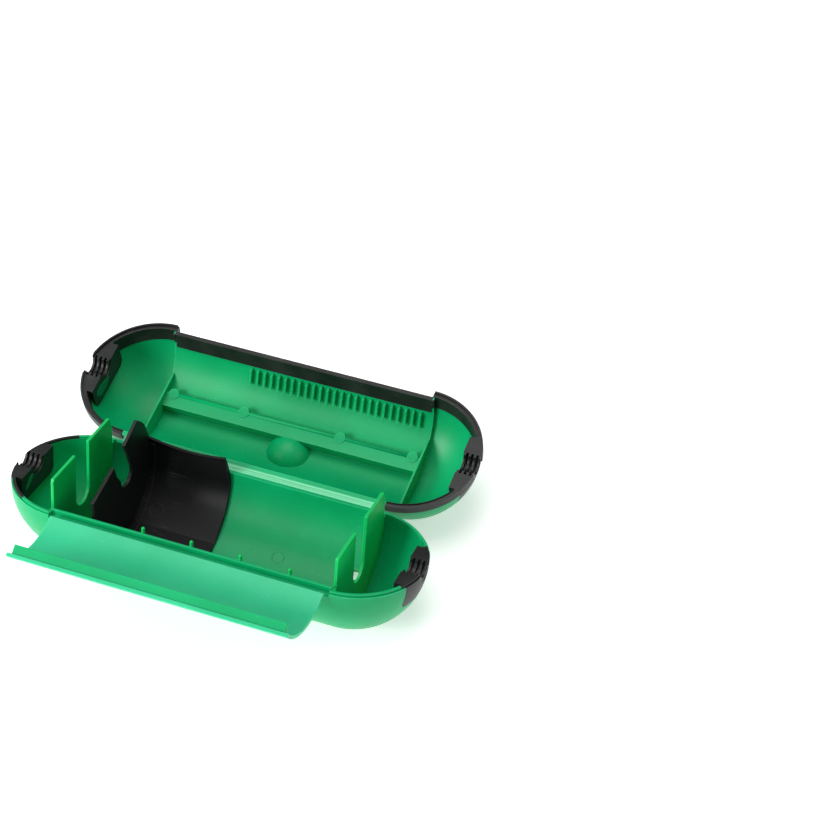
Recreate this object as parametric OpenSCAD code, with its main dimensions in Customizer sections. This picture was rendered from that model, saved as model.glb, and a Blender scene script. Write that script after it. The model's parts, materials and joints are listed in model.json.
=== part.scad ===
// Weatherproof box for a cable connection, lying open on its two round halves.
// The halves are joined by a film hinge at the rear. A curved panel on a second
// film hinge wraps the closed lid and snaps into a channel in its crown.
// Pieces are drawn closed, about the parting plane z = 0, with X along the cable.

/* [Case] */
// Overall length
case_len = 215; // [190:1:260]
// Width of one half, from the hinge side to the latch side
case_w = 72.2; // [60:0.1:88]
// Wall of both shells
wall = 2.2; // [1.8:0.1:3]
// Straight band of the base below its rim
base_band = 2.3; // [1:0.1:6]
// Depth of the lid's round centre below the parting plane
lid_sink = 1; // [0:0.1:3]

/* [Rims and seal] */
// Height of the sealing lip above the base's outer ledge
lip_h = 1.3; // [0.8:0.1:2]
// Width of the sealing lip
lip_w = 1.4; // [1:0.1:1.8]
// Gap between the closed rims
rim_gap = 0.3; // [0.2:0.1:0.6]
// Height of the rubber band round the lid's ends
seal_h = 3.4; // [2:0.1:6]
// How far the rubber stands out of the wall
seal_proud = 0.4; // [0.1:0.1:1]
// How far the rubber stands in from the wall
seal_inner = 0.5; // [0.1:0.1:0.8]
// Drop of the rubber skirt over the base's ledge
skirt_drop = 1; // [0.3:0.1:1.2]
// Gap between the rubber skirt and the sealing lip
skirt_gap = 0.25; // [0.2:0.05:0.5]
// Half-angle of the rubber stretch of the left end's lip
rubber_lip_left = 58; // [45:1:75]
// Half-angle of the rubber stretch of the right end's lip
rubber_lip_right = 30; // [28:1:75]

/* [Film hinges] */
// Distance of the lid hinge from the outer wall
hinge_out = 2.07; // [1.5:0.01:4]
// Depth of the lid hinge below the parting plane
hinge_drop = 0.7; // [0.5:0.1:1]
// Half of the gap between the folded leaves
leaf_gap = 0.15; // [0.1:0.05:0.3]
// Thickness of the hinge leaves
leaf_t = 1.4; // [1:0.1:2]
// Diameter of the bead that stands for the film
bead_d = 0.8; // [0.6:0.1:1]
// Gap between the bead and the leaf that turns about it
bead_gap = 0.2; // [0.15:0.05:0.4]
// Distance of the leaf ends from the ends of the straight wall
leaf_short = 2.4; // [1:0.1:6]
// Angle between lid and base as they lie open
lid_open = 157.6; // [120:0.1:175]
// Depth of the latch hinge below the parting plane
latch_drop = 1.7; // [1.5:0.1:2.2]
// Angle of the latch panel from closed as it lies open
latch_open = 119.6; // [90:0.1:140]

/* [Front rim and latch] */
// Depth of the lid's front recess below its round
recess_d = 2.7; // [2.4:0.1:3.2]
// Wall of the recessed front
front_wall = 1.7; // [1.4:0.1:2]
// Wall at each end of the recess
recess_end_t = 1.2; // [1:0.1:1.6]
// Distance of the recess end from the end of the straight wall
recess_short = 0.2; // [0:0.1:2]
// Depth of the channel behind the base's front lip
gutter_d = 3; // [2.5:0.1:4]
// Distance of the front lip's inner face from the outer wall
front_lip_in = 4.9; // [4.5:0.1:5.5]
// Floor under the channel
gutter_floor = 1.4; // [1:0.1:2]
// Width of the wall that carries the latch hinge
latch_rail_w = 0.8; // [0.6:0.1:1.2]
// Thickness of the latch panel
panel_t = 1.9; // [1.5:0.1:2.2]
// Gap between the closed panel and the lid
panel_gap = 0.5; // [0.3:0.1:0.8]
// Gap at each end of the panel
panel_end_gap = 0.4; // [0.3:0.1:1]
// Length of the panel along its curve
panel_arc = 47.4; // [36:0.1:50]
// Height of the hook inside the panel
hook_h = 4.7; // [2.5:0.1:5.5]
// Thickness of the hook
hook_t = 1.6; // [1.2:0.1:2]
// Distance of the hook from the panel's tip
hook_back = 1.9; // [1.5:0.1:4]
// How much shorter the hook is at each end than the panel
hook_short = 2; // [0.5:0.1:6]
// Room on each side of the hook in the crown channel
channel_room = 1.6; // [1:0.1:2.5]
// Gap between the hook's edge and the floor of the channel
channel_gap = 0.4; // [0.3:0.1:1]
// How far the channel reaches beyond the panel's tip, in degrees
channel_lead = 0.8; // [0.4:0.1:2]
// Height of the rubber band inside the lid's front wall
front_band_h = 8.9; // [6:0.1:9.6]
// Thickness of that band
front_band_t = 1.1; // [0.8:0.1:1.3]
// Rubber under the front wall's edge
front_edge_t = 1.3; // [0.8:0.1:2]

/* [Partitions] */
// Thickness of the base's partitions
partition_t = 1.4; // [1:0.1:2]
// Gap between a partition and the lid's end wall
partition_gap = 0.4; // [0.3:0.1:1]
// Height of the partitions above the parting plane
partition_top = 15.2; // [8:0.1:20]
// Front edge of the partitions, in from the outer wall
partition_front = 6; // [5.4:0.1:8]
// Rear edge of the partitions, in from the outer wall
partition_rear = 3.8; // [3.2:0.1:6]
// Width of the cable notch
notch_w = 14; // [10:0.5:20]
// Depth of the cable notch below the parting plane
notch_floor = 17.5; // [12:0.5:22]

/* [Cable entries] */
// Diameter of the round hole between the closed rubber glands
entry_d = 9.2; // [7:0.1:11]
// Width of each gland
gland_w = 32; // [24:0.5:40]
// Depth of each gland from the parting plane
gland_h = 15; // [11:0.5:18]
// Length of each gland from the end of the case
gland_len = 10; // [9.6:0.1:14]
// Corner radius of the glands
gland_corner = 4; // [2:0.5:8]
// Number of sealing lips in each gland
lip_count = 4; // [2:1:4]
// Distance of the outermost sealing lip from the end of the case
gland_lip_in = 0.5; // [0.3:0.1:1.5]
// Thickness of one sealing lip
gland_lip_t = 1.2; // [0.8:0.1:1.3]
// Spacing of the sealing lips
gland_lip_pitch = 2.6; // [2:0.1:2.8]
// Depth of the grooves between the lips
groove_d = 1.8; // [1:0.1:3]

/* [Cable stop slider] */
// Thickness of the slider's plate
slider_t = 1.8; // [1.2:0.1:2.4]
// Distance of the plate from the left partition
slider_place = 20.4; // [4:0.1:30]
// Length of the cradle behind the plate
cradle_len = 44; // [30:1:60]
// Wall of the cradle
cradle_t = 1.6; // [1.2:0.1:2.2]
// Sliding clearance under the slider
slide_gap = 0.3; // [0.2:0.1:0.6]
// Gap between the slider and the pegs and front lip that it passes
peg_gap = 0.6; // [0.4:0.1:1.2]
// Diameter of the notch in the plate
stop_notch_d = 12.2; // [9:0.1:14]
// Distance of the notch's centre behind the middle
stop_back = 5.6; // [0:0.1:8]
// Height of the notch's centre above the parting plane
stop_up = 2.2; // [0:0.1:4]
// Front of the throat above the notch, ahead of the middle
throat_front = 4.8; // [3:0.1:6]
// Height of the throat's front corner
throat_front_h = 7.9; // [6:0.1:10]
// Rear of the throat, behind the middle
throat_rear = 8.3; // [7:0.1:10]
// Height of the throat's rear corner
throat_rear_h = 11.4; // [9:0.1:14]
// Distance of the plate's front edge from the recessed wall
plate_front = 2.2; // [1.8:0.1:4]
// Height of the plate's front edge
plate_front_h = 7.6; // [5:0.1:10]
// Tip of the front blade, ahead of the middle
blade_tip = 7.8; // [6:0.1:10]
// Height of the front blade's tip
blade_tip_h = 14.8; // [10:0.1:16]
// Foot of the rear horn, behind the middle
horn_foot = 3.6; // [2:0.1:6]
// Height of the rear horn's foot
horn_foot_h = 20.6; // [18:0.1:23]
// Peak of the rear horn, behind the middle
horn_peak = 21; // [16:0.1:24]
// Height of the rear horn's peak
horn_peak_h = 29.4; // [24:0.1:30]
// Distance of the plate's rear edge from the outer wall
plate_rear = 3.2; // [2.8:0.1:5]
// Height at which the plate's rear edge starts to lean
plate_rear_h = 6; // [3:0.1:10]
// Gap between the plate and the closed lid's wall
plate_gap = 0.6; // [0.4:0.1:1.5]
// Height of the cradle's front edge, below the parting plane
cradle_front = 9; // [7:0.5:14]
// Lowest point of the cradle's rear edge above the parting plane
cradle_rear = 6.8; // [2:0.1:9]
// Radius of the sweep in the cradle's rear edge
cradle_sweep = 75; // [60:1:120]

/* [Inside the base] */
// Number of locating pegs
peg_count = 4; // [3:1:6]
// Diameter of a peg
peg_d = 1.8; // [1.4:0.1:2]
// Height of a peg above the parting plane
peg_up = 2.5; // [1.5:0.1:4]
// Root of a peg below the parting plane
peg_down = 3.6; // [2:0.1:4]
// Distance of the last peg from the right recess end
peg_end = 20.6; // [10:0.1:30]
// Spacing of the pegs
peg_pitch = 25.3; // [15:0.1:30]
// Distance of the pegs' front from the recessed wall
peg_wall = 0.8; // [0.5:0.1:2]
// Distance of the drain from the right partition
drain_place = 7.3; // [5:0.1:20]
// Diameter of the drain hole
drain_d = 5; // [3:0.5:7]
// Angle of the drain behind the lowest point
drain_angle = 34; // [20:1:45]
// Wall of the drain collar
collar_t = 1.1; // [0.8:0.1:2]
// Height of the drain collar
collar_h = 0.8; // [0.4:0.1:1.5]
// Depth of the collar's seat in the wall
collar_seat = 0.3; // [0.2:0.1:0.6]

/* [Inside the lid] */
// Most fins in the locating row
fin_count = 25; // [10:1:25]
// Spacing of the fins
fin_pitch = 3.92; // [3.4:0.01:5]
// Thickness of a fin
fin_t = 1.2; // [0.8:0.1:1.6]
// How far a fin stands in from the wall
fin_depth = 2.2; // [1:0.1:2.6]
// Lower end of the fins
fin_low = 10.1; // [9.7:0.1:14]
// Upper end of the fins
fin_high = 17; // [15:0.1:21]
// Distance of the last fin from the right recess end
fin_end = 5.3; // [3:0.1:12]
// How far the lid's cross plates reach past the crown channel
cross_below = 2.2; // [1:0.1:5]
// Width of the dome in the crown
dome_w = 23; // [14:0.5:25]
// Height of the dome
dome_h = 8; // [4:0.1:9]
// Distance of the dome behind the middle of the crown
dome_back = 0.8; // [0:0.1:8]
// Distance of the dome to the right of the middle
dome_side = 1.5; // [-4:0.1:4]
// Diameter of the ejector pads
pad_d = 5.6; // [4:0.1:7.4]
// Height of the ejector pads over the channel
pad_t = 0.5; // [0.3:0.1:1]
// Distance of the pads' middle from the channel's lower corner
pad_on = 0.4; // [0:0.1:2]
// Distance of the inner pads from the middle
pad_inner = 27; // [15:1:32]
// Distance of the outer pads from the recess ends
pad_end = 4.2; // [4:0.1:10]

/* [Hidden] */
$fn = 96;
ball_fn = 72;

case_green = [0.10, 0.68, 0.36];
film_green = [0.45, 0.83, 0.62];
rubber_black = [0.07, 0.07, 0.07];
slider_black = [0.12, 0.12, 0.12];

// Case
round_r = case_w / 2;
straight = case_len / 2 - round_r;
inner_r = round_r - wall;
base_centre = -base_band;
lid_centre = -lid_sink;
far = 4 * round_r;

// Film hinges
hinge_y = round_r + hinge_out;
hinge_z = -hinge_drop;
base_rear_top = hinge_z - leaf_gap;
lid_rear_low = hinge_z + leaf_gap;
leaf_half = straight - leaf_short;
latch_y = -round_r;
latch_z = -latch_drop;
bead_r = bead_d / 2;

// Front recess, latch panel and crown channel, in radii about the lid's centre
recess_half = straight - recess_short;
recess_end = recess_half + recess_end_t;
front_r = round_r - recess_d;
front_in = front_r - front_wall;
panel_in = front_r + panel_gap;
panel_out = panel_in + panel_t;
panel_half = recess_half - panel_end_gap;
panel_tip = panel_arc / (panel_in + panel_t / 2) * 180 / PI;
hook_r = panel_in - hook_h;
hook_mid = panel_tip - hook_back / panel_in * 180 / PI;
channel_r = hook_r - channel_gap;
channel_in = channel_r - front_wall;
channel_low = hook_mid - (hook_t / 2 + channel_room) / hook_r * 180 / PI;
channel_high = panel_tip + panel_end_gap / panel_in * 180 / PI + channel_lead;
channel_side = front_wall / hook_r * 180 / PI;
channel_corner = channel_low - channel_side;
cross_edge = lid_centre + channel_in * sin(channel_corner) - cross_below;
pad_angle = channel_corner + pad_on / channel_in * 180 / PI;

// Partitions, rims and glands
partition_x = recess_end + partition_gap;
lip_r = inner_r + lip_w;
seal_r = round_r + seal_proud;
seal_in = inner_r - seal_inner;
skirt_in = lip_r + skirt_gap;
gland_x = case_len / 2 - gland_len;
band_in = front_in - seal_inner;

// Slider
slider_x = -partition_x + slider_place;
slider_r = inner_r - slide_gap;
cradle_in = slider_r - cradle_t;
cradle_x0 = slider_x + slider_t / 2;
cradle_x1 = cradle_x0 + cradle_len;
peg_face = front_in - peg_wall;
peg_y = -(peg_face - peg_d / 2);

// Angles well below and well past what a sector cuts
under = -60;
past = 110;

// Fins, dome and drain
fin_last = recess_half - fin_end;
fins = min(fin_count, floor((2 * recess_half - 2 * fin_end) / fin_pitch) + 1);
dome_r = (pow(dome_w / 2, 2) + pow(dome_h, 2)) / (2 * dome_h);
crown_in = lid_centre + inner_r;
drain_x = partition_x - drain_place;

// The tilt at which both round halves rest on the same plane
lid_rise = lid_centre - hinge_z;
open_y = hinge_y * (1 - cos(lid_open)) + lid_rise * sin(lid_open);
open_z = hinge_z + hinge_y * sin(lid_open) + lid_rise * cos(lid_open);
base_tilt = atan((open_z - base_centre) / open_y);
// The extremes of the open object, for its place over the origin
tip_y = -panel_out * cos(panel_tip) - latch_y;
tip_z = lid_centre + panel_out * sin(panel_tip) - latch_z;
tip_open_y = latch_y + tip_y * cos(latch_open) - tip_z * sin(latch_open);
tip_open_z = latch_z + tip_y * sin(latch_open) + tip_z * cos(latch_open);
low_y = tip_open_y * cos(base_tilt) + tip_open_z * sin(base_tilt);
high_y = open_y * cos(base_tilt) + open_z * sin(base_tilt) + seal_r;
place_y = -(low_y + high_y) / 2;
place_z = round_r - base_centre * cos(base_tilt);

// ---- Places -------------------------------------------------------------

module in_base() {
    translate([0, place_y, place_z]) rotate([-base_tilt, 0, 0]) children();
}

module in_lid() {
    in_base()
    translate([0, hinge_y, hinge_z])
    rotate([-lid_open, 0, 0])
    translate([0, -hinge_y, -hinge_z])
    children();
}

module in_latch() {
    in_base()
    translate([0, latch_y, latch_z])
    rotate([latch_open, 0, 0])
    translate([0, -latch_y, -latch_z])
    children();
}

// side is 1 for the right end and -1 for the left end
module at_side(side) {
    if (side > 0) children();
    else mirror([1, 0, 0]) children();
}

// ---- Shapes in the (y, z) plane ----------------------------------------

module along_x(x0, x1) {
    translate([x0, 0, 0]) rotate([90, 0, 90]) linear_extrude(x1 - x0) children();
}

module rect(y0, y1, z0, z1) {
    translate([y0, z0]) square([y1 - y0, z1 - z0]);
}

module above(z) {
    rect(-far, far, z, far);
}

module disc(r, centre) {
    translate([0, centre]) circle(r);
}

// Sector of angles up from the front, about the lid's centre
module front_sector(from, to) {
    translate([0, lid_centre])
    polygon([
        [0, 0],
        [-far * cos(from), far * sin(from)],
        [-far * cos((from + to) / 2), far * sin((from + to) / 2)],
        [-far * cos(to), far * sin(to)]
    ]);
}

// Ring about the lid's centre, between two angles up from the front
module front_ring(r0, r1, from, to) {
    intersection() {
        difference() {
            disc(r1, lid_centre);
            disc(r0, lid_centre);
        }
        front_sector(from, to);
    }
}

// Filled outline of the base, up to a height
module base_outline(r, top) {
    difference() {
        union() {
            disc(r, base_centre);
            rect(-r, r, base_centre, far);
        }
        above(top);
    }
}

// A half-turn of an outline about the centre of the right end
module end_turn() {
    translate([straight, 0, 0])
    rotate([0, 0, -90])
    rotate_extrude(angle = 180)
    intersection() {
        children();
        rect(0, far, -far, far);
    }
}

// Round end of the lid, to one radius
module lid_end(r) {
    intersection() {
        translate([straight, 0, lid_centre]) rotate([0, 90, 0]) sphere(r, $fn = ball_fn);
        translate([straight, -far, -far]) cube(2 * far);
    }
}

// A ring of the rim round one end: radii, then heights
module end_rim(r0, r1, z0, z1) {
    end_turn() rect(r0, r1, z0, z1);
}

// Round end of the base, to one radius and up to a height
module base_end(r, top) {
    intersection() {
        translate([straight, 0, base_centre])
        rotate([0, 45, 0]) rotate([0, 0, 180]) sphere(r, $fn = ball_fn);
        translate([straight, -far, base_centre - far]) cube([far, 2 * far, far]);
    }
    end_turn() rect(0, r, base_centre, top);
}

module base_fill(r, top) {
    along_x(-straight, straight) base_outline(r, top);
    for (side = [-1, 1]) at_side(side) base_end(r, top);
}

// ---- Base ---------------------------------------------------------------

// The prism that a gland fills, down from z0 to z1 or up from z0 to z1
module gland_prism(z0, z1) {
    half = gland_w / 2;
    up = z1 > z0 ? 1 : -1;
    flat = z1 - up * gland_corner;
    along_x(gland_x, far)
    union() {
        rect(-half, half, min(z0, flat), max(z0, flat));
        rect(-half + gland_corner, half - gland_corner, min(z0, z1), max(z0, z1));
        for (y = [-1, 1]) translate([y * (half - gland_corner), flat]) circle(gland_corner);
    }
}

// The cable's passage: grooves between round lips
module gland_passage() {
    last = case_len / 2 - gland_lip_in;
    first = last - gland_lip_t - (lip_count - 1) * gland_lip_pitch;
    rotate([0, 90, 0]) cylinder(d = entry_d, h = far);
    for (i = [0:lip_count - 2])
        translate([first + i * gland_lip_pitch + gland_lip_t, 0, 0])
        rotate([0, 90, 0])
        cylinder(r = entry_d / 2 + groove_d, h = gland_lip_pitch - gland_lip_t);
    for (run = [[gland_x - 1, first], [last, far]])
        translate([run[0], 0, 0])
        rotate([0, 90, 0])
        cylinder(r = entry_d / 2 + groove_d, h = run[1] - run[0]);
}

// The stretch of the end lip that is rubber
module rubber_lip_sector(half_angle) {
    reach = far / cos(half_angle);
    translate([straight, 0, -far])
    linear_extrude(2 * far)
    polygon([
        [0, 0],
        [reach * cos(half_angle), -reach * sin(half_angle)],
        [reach, 0],
        [reach * cos(half_angle), reach * sin(half_angle)]
    ]);
}

module base_end_lip() {
    difference() {
        end_rim(inner_r, lip_r, -lip_h, 0);
        translate([0, -far, -far]) cube([partition_x, far, 2 * far]);
    }
}

module base_gland(lip_angle) {
    color(rubber_black) in_base()
    difference() {
        union() {
            intersection() {
                gland_prism(0, -gland_h);
                union() {
                    end_turn() base_outline(round_r, -lip_h);
                    end_turn() base_outline(lip_r, 0);
                }
            }
            intersection() {
                base_end_lip();
                rubber_lip_sector(lip_angle);
            }
        }
        gland_passage();
    }
}

module base_rim_lip(lip_angle) {
    color(case_green) in_base()
    difference() {
        base_end_lip();
        rubber_lip_sector(lip_angle);
        gland_prism(1, -gland_h);
    }
}

module drain_bore(r, from, to) {
    translate([drain_x, 0, base_centre])
    rotate([180 + drain_angle, 0, 0])
    translate([0, 0, from])
    cylinder(r = r, h = to - from);
}

module base_shell() {
    color(case_green) in_base()
    difference() {
        base_fill(round_r, base_rear_top);
        base_fill(inner_r, round_r);
        for (side = [-1, 1]) at_side(side) {
            translate([straight, -far, -lip_h]) cube([far, 2 * far, far]);
            gland_prism(1, -gland_h);
        }
        translate([-partition_x, -far, -gutter_d]) cube([2 * partition_x, far, far]);
        drain_bore(drain_d / 2, inner_r - 1, round_r + 1);
        drain_bore(drain_d / 2 + collar_t, inner_r - 1, inner_r + collar_seat);
    }
}

module base_hinge_leaf() {
    color(film_green) in_base() {
        along_x(-leaf_half, leaf_half)
        union() {
            rect(round_r, hinge_y, base_rear_top - leaf_t, base_rear_top);
            translate([hinge_y, hinge_z]) circle(bead_r);
        }
    }
}

module base_latch_leaf() {
    color(case_green) in_base()
    along_x(-panel_half, panel_half)
    union() {
        rect(-round_r, -round_r + latch_rail_w, -gutter_d, latch_z - bead_r / 2);
        translate([latch_y, latch_z]) circle(bead_r);
    }
}

module base_front_lip() {
    lip_y = -(round_r - front_lip_in);
    color(case_green) in_base()
    intersection() {
        along_x(-partition_x, partition_x)
        union() {
            rect(-far, lip_y, -gutter_d - gutter_floor, -gutter_d);
            rect(lip_y - lip_w, lip_y, -gutter_d, 0);
        }
        base_fill(inner_r, round_r);
    }
}

module base_partition() {
    color(case_green) in_base()
    intersection() {
        along_x(partition_x, partition_x + partition_t)
        difference() {
            union() {
                base_outline(inner_r, 0);
                intersection() {
                    disc(inner_r - partition_gap, lid_centre);
                    rect(-round_r + partition_front, round_r - partition_rear, -1, partition_top);
                }
            }
            rect(-far, -round_r + partition_front, -lip_h, far);
            rect(round_r - partition_rear, far, -lip_h, far);
            rect(-notch_w / 2, notch_w / 2, notch_w / 2 - notch_floor, far);
            translate([0, notch_w / 2 - notch_floor]) circle(notch_w / 2);
        }
        union() {
            base_fill(inner_r, 0);
            translate([-far, -far, 0]) cube([2 * far, 2 * far, far]);
        }
    }
}

module base_locating_pegs() {
    color(case_green) in_base()
    for (i = [0:peg_count - 1])
        translate([recess_half - peg_end - i * peg_pitch, 0, 0]) {
            translate([0, peg_y, -peg_down]) cylinder(d = peg_d, h = peg_up + peg_down - peg_d / 2);
            translate([0, peg_y, peg_up - peg_d / 2]) sphere(d = peg_d);
            translate([-peg_d / 4, -(round_r - front_lip_in), -peg_down])
            cube([peg_d / 2, round_r - front_lip_in + peg_y, peg_down]);
        }
}

module base_drain_collar() {
    color(case_green) in_base()
    difference() {
        drain_bore(drain_d / 2 + collar_t, inner_r - collar_h, inner_r + collar_seat);
        drain_bore(drain_d / 2, 0, round_r + 1);
    }
}

// ---- Lid ----------------------------------------------------------------

// Outside of the straight lid, with its front recess and crown channel
module lid_outside() {
    difference() {
        disc(round_r, lid_centre);
        front_sector(under, channel_high);
    }
    intersection() {
        disc(front_r, lid_centre);
        front_sector(under, channel_low);
    }
    intersection() {
        disc(channel_r, lid_centre);
        front_sector(under, channel_high);
    }
}

module lid_inside() {
    difference() {
        disc(inner_r, lid_centre);
        front_sector(under, channel_high + channel_side);
    }
    intersection() {
        disc(front_in, lid_centre);
        front_sector(under, channel_low - channel_side);
    }
    intersection() {
        disc(channel_in, lid_centre);
        front_sector(under, channel_high + channel_side);
    }
}

// Cuts the lid off at its lower edge, which is lower along the hinge
module lid_room() {
    translate([-far, -far, rim_gap]) cube([2 * far, 2 * far, far]);
    translate([-straight, 0, lid_rear_low]) cube([2 * straight, far, far]);
}

module lid_cavity() {
    along_x(-recess_end, recess_end) lid_inside();
    for (side = [-1, 1]) at_side(side)
        intersection() {
            lid_end(inner_r);
            translate([recess_end, -far, -far]) cube([far, 2 * far, 2 * far]);
        }
}

module lid_body() {
    along_x(-recess_half, recess_half) lid_outside();
    for (side = [-1, 1]) at_side(side) {
        along_x(recess_half, straight) disc(round_r, lid_centre);
        lid_end(round_r);
    }
}

// The rubber all round the lid's rim, except along the hinge
module seal_body() {
    for (side = [-1, 1]) at_side(side) {
        end_rim(seal_in, seal_r, rim_gap, seal_h);
        difference() {
            end_rim(skirt_in, seal_r, -skirt_drop, rim_gap + 0.1);
            translate([0, -far, -far]) cube([straight + rim_gap, 2 * far, 2 * far]);
        }
        translate([recess_half, -seal_r, rim_gap])
        cube([straight + rim_gap - recess_half, seal_r - band_in, seal_h - rim_gap]);
    }
    along_x(-recess_half, recess_half)
    intersection() {
        union() {
            front_ring(band_in, band_in + front_band_t, under, past);
            intersection() {
                front_ring(band_in, front_r, under, past);
                rect(-far, 0, rim_gap, rim_gap + front_edge_t);
            }
        }
        rect(-far, 0, rim_gap, front_band_h);
    }
}

module dome(r) {
    translate([dome_side, dome_back, crown_in + dome_r - dome_h]) rotate([90, 0, 0]) sphere(r);
}

// The solid dome, clear of the channel outside
module dome_body() {
    intersection() {
        dome(dome_r);
        along_x(-round_r, round_r)
        difference() {
            disc(inner_r + wall / 2, lid_centre);
            front_ring(channel_r, far, under, channel_high);
        }
    }
}

module lid_shell() {
    color(case_green) in_lid()
    difference() {
        union() {
            difference() {
                intersection() {
                    lid_body();
                    lid_room();
                }
                lid_cavity();
            }
            dome_body();
        }
        dome(dome_r - front_wall);
        seal_body();
        for (side = [-1, 1]) at_side(side) gland_prism(-1, gland_h);
    }
}

module lid_hinge_leaf() {
    color(film_green) in_lid()
    along_x(-leaf_half, leaf_half)
    rect(round_r, hinge_y - bead_r - bead_gap, lid_rear_low, lid_rear_low + leaf_t);
}

module lid_rim_seal() {
    color(rubber_black) in_lid()
    difference() {
        seal_body();
        for (side = [-1, 1]) at_side(side) gland_prism(-skirt_drop - 1, gland_h);
    }
}

module lid_gland() {
    color(rubber_black) in_lid()
    difference() {
        union() {
            intersection() {
                gland_prism(rim_gap, gland_h);
                lid_end(round_r);
            }
            intersection() {
                gland_prism(-skirt_drop - 1, gland_h);
                seal_body();
            }
        }
        gland_passage();
    }
}

module lid_cross_plate() {
    color(case_green) in_lid()
    intersection() {
        along_x(recess_half, recess_end) lid_inside();
        translate([0, -far, cross_edge]) cube([far, 2 * far, far]);
    }
}

module lid_locating_fins() {
    color(case_green) in_lid()
    for (i = [0:fins - 1])
        translate([fin_last - i * fin_pitch, 0, 0])
        along_x(-fin_t / 2, fin_t / 2)
        intersection() {
            front_ring(front_in - fin_depth, front_in, under, past);
            rect(-far, 0, fin_low, fin_high);
        }
}

module lid_ejector_pads() {
    color(case_green) in_lid()
    for (x = [-1, 1], place = [pad_inner, recess_half - pad_end])
        intersection() {
            translate([x * place, 0, lid_centre])
            rotate([90 - pad_angle, 0, 0])
            translate([0, 0, channel_in - pad_t])
            cylinder(d = pad_d, h = front_in - channel_in + 2 * pad_t);
            along_x(-recess_end, recess_end) lid_inside();
        }
}

// ---- Latch --------------------------------------------------------------

module latch_panel() {
    root_low = latch_z + bead_r + bead_gap;
    color(case_green) in_latch()
    along_x(-panel_half, panel_half)
    union() {
        intersection() {
            front_ring(panel_in, panel_out, under, panel_tip);
            rect(-far, 0, root_low, far);
        }
        rect(-round_r, -panel_in, root_low, root_low + panel_t);
    }
}

module latch_hook() {
    hook_half = panel_half - hook_short;
    hook_turn = hook_t / 2 / hook_r * 180 / PI;
    color(case_green) in_latch()
    along_x(-hook_half, hook_half)
    front_ring(hook_r, panel_in, hook_mid - hook_turn, hook_mid + hook_turn);
}

// ---- Slider -------------------------------------------------------------

module slider_plate() {
    stop_r = stop_notch_d / 2;
    front = plate_front - front_in;
    rear = round_r - plate_rear;
    color(slider_black) in_base()
    along_x(slider_x - slider_t / 2, slider_x + slider_t / 2)
    difference() {
        union() {
            base_outline(slider_r, 0);
            intersection() {
                disc(inner_r - plate_gap, lid_centre);
                polygon([
                    [front, base_centre], [front, plate_front_h], [-blade_tip, blade_tip_h],
                    [-blade_tip, horn_foot_h], [horn_foot, horn_foot_h],
                    [horn_peak, horn_peak_h], [rear, plate_rear_h], [rear, base_centre]
                ]);
            }
        }
        rect(-far, peg_y + peg_d / 2 + peg_gap, -gutter_d - gutter_floor - peg_gap, peg_up + peg_gap);
        translate([stop_back, stop_up]) circle(stop_r);
        polygon([
            [stop_back - stop_r, stop_up], [-throat_front, throat_front_h],
            [-blade_tip, blade_tip_h], [-blade_tip, far], [horn_foot, far],
            [horn_foot, horn_foot_h], [throat_rear, throat_rear_h], [stop_back + stop_r, stop_up]
        ]);
    }
}

module slider_cradle() {
    low = (cradle_x0 + cradle_x1) / 2;
    color(slider_black) in_base()
    difference() {
        along_x(cradle_x0, cradle_x1)
        difference() {
            disc(slider_r, base_centre);
            disc(cradle_in, base_centre);
            rect(-far, 0, -cradle_front, far);
        }
        translate([low, 0, cradle_rear + cradle_sweep])
        rotate([-90, 0, 0])
        cylinder(r = cradle_sweep, h = far);
    }
}

base_shell();
base_hinge_leaf();
base_latch_leaf();
base_front_lip();
at_side(-1) base_rim_lip(rubber_lip_left);  // base_rim_lip_left
at_side(1) base_rim_lip(rubber_lip_right);  // base_rim_lip_right
at_side(-1) base_partition();  // base_partition_left
at_side(1) base_partition();  // base_partition_right
base_locating_pegs();
base_drain_collar();
at_side(-1) base_gland(rubber_lip_left);  // base_gland_left
at_side(1) base_gland(rubber_lip_right);  // base_gland_right
lid_shell();
lid_hinge_leaf();
lid_rim_seal();
at_side(-1) lid_gland();  // lid_gland_left
at_side(1) lid_gland();  // lid_gland_right
at_side(-1) lid_cross_plate();  // lid_cross_plate_left
at_side(1) lid_cross_plate();  // lid_cross_plate_right
lid_locating_fins();
lid_ejector_pads();
latch_panel();
latch_hook();
slider_plate();
slider_cradle();
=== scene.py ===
"""Looks of a weatherproof box for a cable connection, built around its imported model.

The case is one green moulding with two film hinges, black rubber at its rims and
cable entries, and a black sliding cable stop. Sizes are in millimetres in the
closed frame, where X runs along the cable and z = 0 is the parting plane.
"""

import json
import logging
import math
from dataclasses import dataclass, field
from enum import Enum
from typing import Any, Iterable, Optional, Sequence

import bmesh
import bpy
from mathutils import Matrix, Vector


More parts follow.
